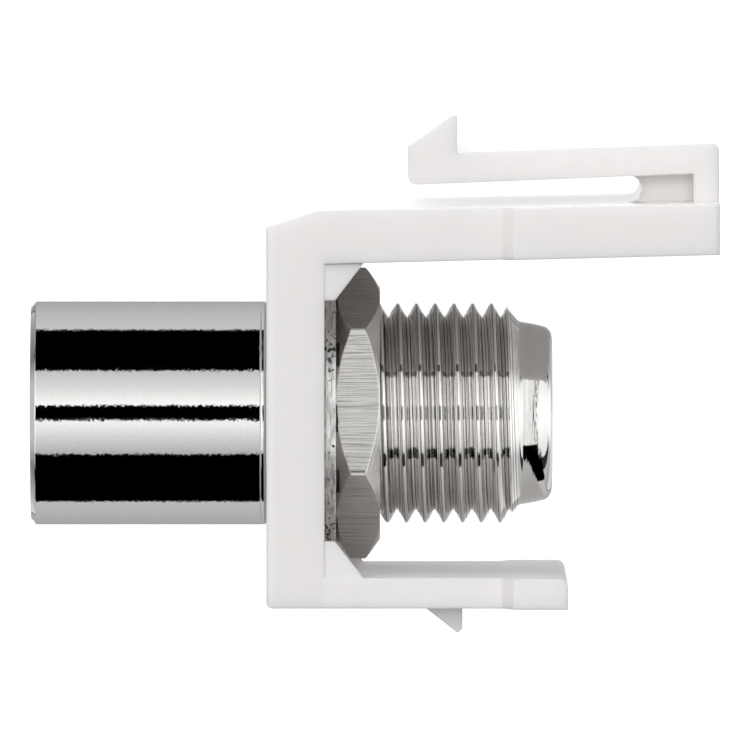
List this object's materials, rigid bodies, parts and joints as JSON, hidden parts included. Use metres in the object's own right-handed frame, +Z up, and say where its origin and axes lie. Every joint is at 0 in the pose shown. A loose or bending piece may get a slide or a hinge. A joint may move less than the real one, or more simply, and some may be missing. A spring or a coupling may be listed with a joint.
{
  "type": "snap-in coaxial adapter with threaded f socket",
  "caption": "White snap-in wall-plate module carrying a nickel-plated coaxial barrel: smooth plug shell in front, threaded F socket behind, clamped by a hex nut.",
  "frame": {"origin": "on the connector axis, in the plane of the housing's front face", "axes": "+X along the connector axis from the plug end towards the threaded socket, +Z up towards the latch, Y across the housing"},
  "size_m": [0.0291, 0.0164, 0.0218],
  "materials": {
    "housing_plastic": "fine satin white moulding",
    "barrel_nickel": "bright nickel plate on a turned surface",
    "nut_nickel": "nickel plate over milled flats with fine drawn lines",
    "washer_nickel": "stamped and plated, slightly rough edge",
    "insulator_white": "waxy white moulding",
    "pin_nickel": "bright plated turned pin",
    "contact_bronze": "bare spring bronze"
  },
  "bodies": {
    "root": {"snap_in_housing": "housing_plastic", "connector_barrel": "barrel_nickel", "hex_nut": "nut_nickel", "lock_washer": "washer_nickel", "plug_insulator": "insulator_white", "socket_insulator": "insulator_white", "centre_pin": "pin_nickel", "socket_contact": "contact_bronze"}
  },
  "joints": []
}
